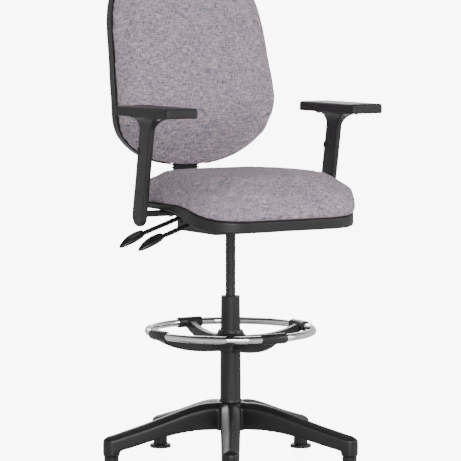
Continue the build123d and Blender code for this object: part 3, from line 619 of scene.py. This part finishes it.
@dataclass
class Cushion:
    """An upholstered cushion: foam under stretched cloth, swollen by a short cloth simulation."""

    name: str
    node: str
    body: str
    facing: Facing
    voxel: float = 0.006
    sink: float = 0.010
    side_sink: float = 0.003
    fall: float = 0.005
    cap: float = 0.013
    bulge: float = 0.006
    pressure: float = 4.0
    frames: int = 18

    def build(self, cloth: bpy.types.Material) -> bpy.types.Object:
        """Make, swell and dress the cushion, and let it stand for the plain solid.

        Args:
            cloth: the upholstery finish.

        Returns:
            The finished object.
        """
        piece = rounded_copy(self.name, self.node, self.voxel, 6)
        rest = coordinates(piece.data)
        held = self._hem(rest)
        start = self._slack(rest, outward(piece.data), held)
        piece.data.vertices.foreach_set("co", start.astype(np.float32).ravel())
        piece.data.update()
        swollen = self._swell(piece, start, held)
        swollen += outward(piece.data) * self._drape(rest, held)[:, None]
        piece.data.vertices.foreach_set("co", swollen.astype(np.float32).ravel())
        piece.data.update()
        self._lay_out(piece.data, coordinates(piece.data))
        piece.data.materials.clear()
        piece.data.materials.append(cloth)
        finer = piece.modifiers.new("Finer", "SUBSURF")
        finer.levels = finer.render_levels = 1
        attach(piece, self.body)
        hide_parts(self.node)
        log.info("cushion %s with %d faces", self.name, len(piece.data.polygons))
        return piece

    def _height(self, places: np.ndarray) -> np.ndarray:
        """Distance of each place above the hem, towards the sat-on side.

        For the seat it is z over the line that the shell's rim follows; for the back it is how
        far the place stands in front of the rear of the cushion at the same height.

        Args:
            places: n by 3 array of places.

        Returns:
            n heights in metres.
        """
        if self.facing is Facing.UP:
            bend = step(-places[:, 1], *HEM_BEND)
            return places[:, 2] - (HEM_HEIGHT - HEM_DROP * bend)
        bands = np.round(places[:, 2] / BAND).astype(int)
        bands -= bands.min()
        rear = np.full(bands.max() + 1, -9.0)
        np.maximum.at(rear, bands, places[:, 1])
        return rear[bands] - places[:, 1]

    def _behind(self, places: np.ndarray) -> np.ndarray:
        """How far each place lies behind the foremost place of the cushion at the same height."""
        bands = np.round(places[:, 2] / BAND).astype(int)
        bands -= bands.min()
        front = np.full(bands.max() + 1, 9.0)
        np.minimum.at(front, bands, places[:, 1])
        return places[:, 1] - front[bands]

    def _hem(self, places: np.ndarray) -> np.ndarray:
        """How firmly each place is held, 1 at the stapled hem and 0 from 18 mm above it."""
        return 1.0 - step(self._height(places), 0.002, 0.018)

    def _reach(self, places: np.ndarray) -> np.ndarray:
        """Distance from the middle of the sat-on side, 1 at its edge, by a fourth-power ellipse."""
        other = 1 if self.facing is Facing.UP else 2
        low, high = places.min(0), places.max(0)
        middle, half = (low + high) / 2, (high - low) / 2
        u = np.abs((places[:, 0] - middle[0]) / half[0])
        v = np.abs((places[:, other] - middle[other]) / half[other])
        return (u**4 + v**4) ** 0.25

    def _slack(self, rest: np.ndarray, normals: np.ndarray, held: np.ndarray) -> np.ndarray:
        """The slack shape that the swelling starts from.

        Each place sinks along its normal, and the sat-on side falls away towards its edge with
        the square of its distance from the middle.

        Args:
            rest: places on the plain solid.
            normals: unit normals there.
            held: how firmly each place is held.

        Returns:
            The new places.
        """
        free = 1.0 - held
        axis = self.facing.value
        toward = 1.0 if self.facing is Facing.UP else -1.0
        facing_side = step(normals[:, axis] * toward, 0.2, 0.9)
        sink = self.side_sink + (self.sink - self.side_sink) * facing_side
        moved = rest - normals * (sink * free)[:, None]
        moved[:, axis] -= toward * self.fall * facing_side * self._reach(rest) ** 2 * free
        return moved

    def _swell(self, piece: bpy.types.Object, start: np.ndarray, held: np.ndarray) -> np.ndarray:
        """Blow the cloth up and read its shape, with each move cut to the cap.

        Args:
            piece: the object with the slack mesh.
            start: the slack places.
            held: how firmly each place is held.

        Returns:
            The swollen places.
        """
        pins = piece.vertex_groups.new(name="hem")
        for level in (1.0, 0.5, 0.15):
            band = np.nonzero(held >= level * 0.98)[0]
            pins.add([int(i) for i in band if level == 1.0 or held[i] < 1.0], level, "REPLACE")
        cloth = piece.modifiers.new("Swell", "CLOTH")
        cloth.settings.use_pressure = True
        cloth.settings.uniform_pressure_force = self.pressure
        cloth.settings.effector_weights.gravity = 0.0
        cloth.settings.quality = 5
        cloth.settings.mass = 0.25
        cloth.settings.vertex_group_mass = "hem"
        cloth.collision_settings.use_collision = False
        ironed = piece.modifiers.new("Ironed", "SMOOTH")
        ironed.factor, ironed.iterations = 0.5, 12
        cloth.point_cache.frame_start = 1
        cloth.point_cache.frame_end = self.frames
        scene = bpy.context.scene
        for number in range(1, self.frames + 1):
            scene.frame_set(number)
        graph = bpy.context.evaluated_depsgraph_get()
        shape = coordinates(piece.evaluated_get(graph).data)
        piece.modifiers.clear()
        piece.vertex_groups.clear()
        scene.frame_set(1)
        move = shape - start
        far = np.linalg.norm(move, axis=1)
        log.info("%s swelled by up to %.1f mm", self.name, far.max() * 1000)
        return start + move * np.minimum(1.0, self.cap / np.maximum(far, 1e-9))[:, None]

    def _drape(self, rest: np.ndarray, held: np.ndarray) -> np.ndarray:
        """Fullness of the sides and the faint unevenness of hand-stretched cloth.

        The sides stand out by half a sine wave over their height. To this are added slow sine
        products over the cushion, and faint pleats a little above the hem at the corners.

        Args:
            rest: places on the plain solid.
            held: how firmly each place is held.

        Returns:
            n offsets along the normals, in metres.
        """
        x, y, z = rest.T
        w = z if self.facing is Facing.FORWARD else y
        slow = np.sin(19.0 * x + 1.3) * np.sin(17.0 * w + 0.4) + 0.6 * np.sin(33.0 * x - 27.0 * w)
        around = np.arctan2(w - w.mean(), x)
        band = (held * (1.0 - held) * 4.0) ** 2
        pleats = np.sin(46.0 * around + 2.0 * np.sin(5.0 * around)) * band
        corner = step(np.abs(np.sin(2.0 * around)), 0.75, 1.0)
        fullness = np.sin(math.pi * np.clip(self._height(rest) / 0.085, 0.0, 1.0))
        return 0.0005 * slow * (1.0 - held) + 0.0004 * pleats * corner + self.bulge * fullness

    def _lay_out(self, mesh: bpy.types.Mesh, places: np.ndarray) -> None:
        """Write the UV map in metres of flat cloth.

        The cloth lies flat over the sat-on side and folds down over the edge: a place that is d
        below the sat-on side moves out by d along the part of its normal that lies in that side,
        so that threads stay square to the sides and turn only round the corners.

        Args:
            mesh: the mesh to map.
            places: its vertex places.
        """
        other = 1 if self.facing is Facing.UP else 2
        if self.facing is Facing.UP:
            depth = places[:, 2].max() - places[:, 2]
        else:
            depth = self._behind(places)
        sideways = outward(mesh)[:, [0, other]]
        length = np.hypot(sideways[:, 0], sideways[:, 1])
        fold = depth * step(length, 0.10, 0.75) / np.maximum(length, 0.05)
        flat = places[:, [0, other]] + sideways * fold[:, None]
        flat[:, 1] -= (places[:, other].max() + places[:, other].min()) / 2
        corners = np.empty(len(mesh.loops), np.int32)
        mesh.loops.foreach_get("vertex_index", corners)
        layer = mesh.uv_layers.new(name="cloth")
        layer.data.foreach_set("uv", flat[corners].astype(np.float32).ravel())


# ---------------------------------------------------------------- sub-assemblies


class Side(Enum):
    """The sitter's left and right."""

    LEFT = "left"
    RIGHT = "right"


@dataclass
class FloorBase:
    """Five-legged moulded base on glides, with the gas column's fixed tube and sleeve."""

    nylon: MouldedPlastic = MouldedPlastic("base_nylon", (0.014, 0.014, 0.015), 0.34, scuffs=0.5)
    sleeve: MouldedPlastic = MouldedPlastic("column_sleeve_plastic", (0.016, 0.016, 0.017), 0.42)
    glide: MouldedPlastic = MouldedPlastic("glide_plastic", (0.014, 0.014, 0.015), 0.32, scuffs=0.8)
    zinc: PlatedMetal = PlatedMetal("zinc_plate", (0.62, 0.62, 0.60), 0.34, 0.10)
    bush: MouldedPlastic = MouldedPlastic("acetal_bush", (0.72, 0.72, 0.68), 0.3, relief=0.00003)
    tube: Lacquer = Lacquer("tube_paint", (0.022, 0.022, 0.023))

    def build(self) -> None:
        """Dress the base and what is fixed in it."""
        legs = SoftEdged(
            "star_base_moulding", "star_base", "base", "base_nylon", voxel=0.0024, passes=40
        )
        legs.build(self.nylon.material())
        dress(["column_sleeve"], self.sleeve.material())
        dress(["glide_feet"], self.glide.material())
        dress(["glide_stems", "thrust_bearing"], self.zinc.material())
        dress(["guide_bush"], self.bush.material())
        dress(["gas_outer_tube"], self.tube.material())


@dataclass
class FootRing:
    """Chromed ring on a moulded four-armed spider that clamps to the column."""

    chrome: PlatedMetal = PlatedMetal("ring_chrome", (0.90, 0.90, 0.91), 0.05, 0.0, 0.05)
    spider: MouldedPlastic = MouldedPlastic(
        "spider_nylon", (0.018, 0.018, 0.019), 0.34, 900.0, 0.00016, 0.6
    )
    collet: MouldedPlastic = MouldedPlastic("collet_acetal", (0.5, 0.5, 0.48), 0.35)

    def build(self) -> None:
        """Dress the ring, the spider and the collet."""
        dress(["foot_ring_tube"], self.chrome.material())
        arms = SoftEdged(
            "spider_moulding",
            "foot_ring_spider",
            "foot_ring",
            "spider_plastic",
            voxel=0.0018,
            passes=5,
        )
        arms.build(self.spider.material())
        dress(["foot_ring_collet"], self.collet.material())


@dataclass
class GasLift:
    """Sliding cylinder, piston rod and valve of the gas spring."""

    black: Lacquer = Lacquer("cylinder_lacquer", (0.014, 0.014, 0.015), 0.26, 200.0, 0.35)
    steel: PlatedMetal = PlatedMetal("rod_steel", (0.70, 0.70, 0.71), 0.18, 0.08)
    spring: PlatedMetal = PlatedMetal("spring_steel", (0.34, 0.34, 0.36), 0.30, 0.05)

    def build(self) -> None:
        """Dress the gas spring."""
        dress(["gas_cylinder"], self.black.material())
        dress(["piston_rod", "gas_valve_pin"], self.steel.material())
        dress(["rod_clip", "recline_spring", "recline_lock_plates"], self.spring.material())


@dataclass
class Mechanism:
    """Pressed-steel tray under the seat with its pins, bolts and the two arm brackets."""

    paint: Lacquer = Lacquer("tray_powder_coat", (0.014, 0.014, 0.015), 0.46, 700.0, 0.0)
    bolts: PlatedMetal = PlatedMetal("bolt_zinc", (0.58, 0.58, 0.56), 0.36, 0.08)

    def build(self) -> None:
        """Dress the tray and what is bolted to it."""
        brackets = [f"arm_bracket_{side.value}" for side in Side]
        dark = ["mechanism_housing", "taper_socket", "recline_pin", *brackets]
        dress(dark, self.paint.material())
        small = ["lever_pivot_pins", "seat_bolts", "seat_tee_nuts", "arm_bolts"]
        dress([*small, "back_screws"], self.bolts.material())


@dataclass
class Levers:
    """Height and back-lock levers: coated rod, ribbed sleeve and a glossy paddle on each."""

    rod: Lacquer = Lacquer("lever_coating", (0.014, 0.014, 0.015), 0.35)
    sleeve: SoftSkin = SoftSkin("lever_sleeve_rubber", (0.010, 0.010, 0.011), 0.5)
    paddle: MouldedPlastic = MouldedPlastic(
        "paddle_plastic", (0.016, 0.016, 0.017), 0.2, relief=0.00002
    )

    def build(self) -> None:
        """Dress both levers."""
        dress(["height_lever_rod", "back_lever_rod"], self.rod.material())
        dress(["height_lever_sleeve", "back_lever_sleeve"], self.sleeve.material())
        dress(["height_lever_paddle", "back_lever_paddle"], self.paddle.material())


@dataclass
class Seat:
    """Plywood board, black undercover and the upholstered seat cushion."""

    ply: BeechPly = BeechPly("seat_beech_ply")
    cover: MouldedPlastic = MouldedPlastic("undercover_plastic", (0.016, 0.016, 0.017), 0.36)

    def build(self, cloth: bpy.types.Material) -> None:
        """Dress the board and undercover and build the cushion.

        Args:
            cloth: the upholstery finish.
        """
        dress(["seat_board", "back_board"], self.ply.material())
        dress(["seat_shell", "back_shell"], self.cover.material())
        Cushion("seat_cushion_cloth", "seat_cushion", "seat", Facing.UP).build(cloth)


@dataclass
class Backrest:
    """Upholstered back on its carrier, the bent bar that holds it, and the bar's bellows."""

    carrier: MouldedPlastic = MouldedPlastic("carrier_nylon", (0.016, 0.016, 0.017), 0.42)
    bar: Lacquer = Lacquer("back_bar_paint", (0.013, 0.013, 0.014), 0.36)
    bellows: SoftSkin = SoftSkin("bellows_rubber", (0.009, 0.009, 0.010), 0.55)

    def build(self, cloth: bpy.types.Material) -> None:
        """Dress the bar and carrier and build the back cushion.

        Args:
            cloth: the upholstery finish.
        """
        dress(["back_carrier"], self.carrier.material())
        dress(["back_bar"], self.bar.material())
        dress(["back_bar_bellows"], self.bellows.material())
        back = Cushion(
            "back_cushion_cloth",
            "back_cushion",
            "backrest",
            Facing.FORWARD,
            sink=0.006,
            fall=0.004,
            cap=0.014,
            bulge=0.0,
        )
        back.build(cloth)


@dataclass
class ArmRests:
    """Two height-adjustable arms: moulded shroud and lower cover, push button and soft pad."""

    nylon: MouldedPlastic = MouldedPlastic("arm_nylon", (0.018, 0.018, 0.019), 0.38, scuffs=0.25)
    skin: SoftSkin = SoftSkin("pad_polyurethane", (0.016, 0.015, 0.016), 0.5, 900.0, 0.15)
    button: MouldedPlastic = MouldedPlastic("button_plastic", (0.008, 0.008, 0.009), 0.28)
    screws: PlatedMetal = PlatedMetal("pad_screw_zinc", (0.55, 0.55, 0.53), 0.35, 0.05)

    def build(self) -> None:
        """Dress both arms."""
        nylon, skin = self.nylon.material(), self.skin.material()
        button, screws = self.button.material(), self.screws.material()
        for side in Side:
            dress([f"arm_shroud_{side.value}", f"arm_lower_cover_{side.value}"], nylon)
            dress([f"arm_pad_{side.value}"], skin)
            dress([f"arm_button_{side.value}"], button)
            dress([f"arm_pad_screws_{side.value}"], screws)


# ---------------------------------------------------------------- studio


@dataclass
class Studio:
    """Pale polished floor, soft boxes round the chair and the camera."""

    turn: float = math.radians(31.0)
    tilt: float = math.radians(5.04)
    distance: float = 8.0
    eye: float = 1.368
    lens: float = 222.8
    floor_half: float = 400.0
    glow: float = 8.0
    middle: float = 0.7

    def build(self) -> None:
        """Set the floor, the lights and the camera."""
        self._floor()
        self._sky()
        self._soft_box("key", (-1.8, -4.6, 2.2), 2.6, 150.0)
        self._soft_box("fill", (3.6, -3.0, 2.2), 2.4, 70.0)
        self._soft_box("top", (0.3, 0.4, 3.6), 2.2, 12.0)
        self._soft_box("rear", (1.6, 3.6, 2.4), 2.4, 90.0)
        self._camera()

    def _floor(self) -> None:
        """A flat square floor of white polished vinyl."""
        h = self.floor_half
        mesh = bpy.data.meshes.new("studio_floor")
        mesh.from_pydata([(-h, -h, 0), (h, -h, 0), (h, h, 0), (-h, h, 0)], [], [(0, 1, 2, 3)])
        floor = bpy.data.objects.new("studio_floor", mesh)
        bpy.context.scene.collection.objects.link(floor)
        g = Surface("studio_floor")
        cloud = g.noise(g.place(), 3.0, 2.0)
        g.set(Base_Color=g.ramp(cloud, [(0.0, (0.92, 0.92, 0.92)), (1.0, (0.95, 0.95, 0.95))]))
        g.set(Roughness=0.14 + cloud * 0.03, Specular_IOR_Level=0.5)
        lit = g.shader.wire("BSDF")
        glow = g.node("ShaderNodeEmission", None, {"Color": WHITE, "Strength": self.glow})
        both = g.node("ShaderNodeAddShader", None, {0: lit, 1: glow.wire()})
        seen = g.node("ShaderNodeLightPath").wire("Is Camera Ray")
        shown = g.node("ShaderNodeMixShader", None, {0: seen, 1: lit, 2: both.wire()})
        g.feed(g.output.node.inputs["Surface"], shown.wire())
        mesh.materials.append(g.material)

    def _sky(self) -> None:
        """A surround that is bright at the horizon and dim overhead, as under a dark ceiling."""
        world = bpy.data.worlds.new("studio_surround")
        world.use_nodes = True
        g = Graph(world.node_tree)
        start = g.node("ShaderNodeTexCoord").wire("Generated")
        rise = g.node("ShaderNodeSeparateXYZ", None, {0: start}).wire("Z")
        stops = [(0.0, (0.95, 0.95, 0.95)), (0.35, (0.6, 0.6, 0.6)), (0.75, (0.10, 0.10, 0.10))]
        seen = g.node("ShaderNodeLightPath").wire("Is Camera Ray")
        tone = g.ramp(rise, stops)
        lights = g.node("ShaderNodeBackground", None, {"Color": tone, "Strength": 1.0})
        plain = g.node("ShaderNodeBackground", None, {"Color": WHITE, "Strength": self.glow + 1.0})
        shown = g.node("ShaderNodeMixShader", None, {0: seen, 1: lights.wire(), 2: plain.wire()})
        output = g.node("ShaderNodeOutputWorld")
        g.feed(output.node.inputs["Surface"], shown.wire())
        bpy.context.scene.world = world

    def _soft_box(
        self, name: str, place: Tuple[float, float, float], size: float, power: float
    ) -> None:
        """Hang a square soft light that looks at the middle of the chair.

        Args:
            name: the light's name.
            place: where it hangs.
            size: length of its side.
            power: watts.
        """
        lamp = bpy.data.lights.new(name, "AREA")
        lamp.size, lamp.energy = size, power
        hung = bpy.data.objects.new(name, lamp)
        hung.location = place
        toward = Vector((0, 0, self.middle)) - Vector(place)
        hung.rotation_euler = toward.to_track_quat("-Z", "Y").to_euler()
        bpy.context.scene.collection.objects.link(hung)

    def _camera(self) -> None:
        """A long lens at eye height, turned to the sitter's right of the chair's front."""
        made = bpy.data.cameras.new("studio_camera")
        made.lens, made.sensor_width = self.lens, 36.0
        made.clip_end = 1000.0
        camera = bpy.data.objects.new("studio_camera", made)
        away = Vector((-math.sin(self.turn), -math.cos(self.turn), 0)) * self.distance
        flat = Vector((math.sin(self.turn), math.cos(self.turn), 0)) * math.cos(self.tilt)
        look = flat - Vector((0, 0, math.sin(self.tilt)))
        turn = look.to_track_quat("-Z", "Y").to_matrix().to_4x4()
        camera.matrix_world = Matrix.Translation(away + Vector((0, 0, self.eye))) @ turn
        bpy.context.scene.collection.objects.link(camera)
        bpy.context.scene.camera = camera


def main() -> None:
    """Build the chair's looks in order."""
    logging.basicConfig(level=logging.INFO, format="%(name)s: %(message)s")
    cloth = MelangeCloth("upholstery_cloth").material()
    FloorBase().build()
    GasLift().build()
    FootRing().build()
    Mechanism().build()
    Levers().build()
    Seat().build(cloth)
    Backrest().build(cloth)
    ArmRests().build()
    Studio().build()
    bpy.context.view_layer.update()


if __name__ == "__main__":
    main()
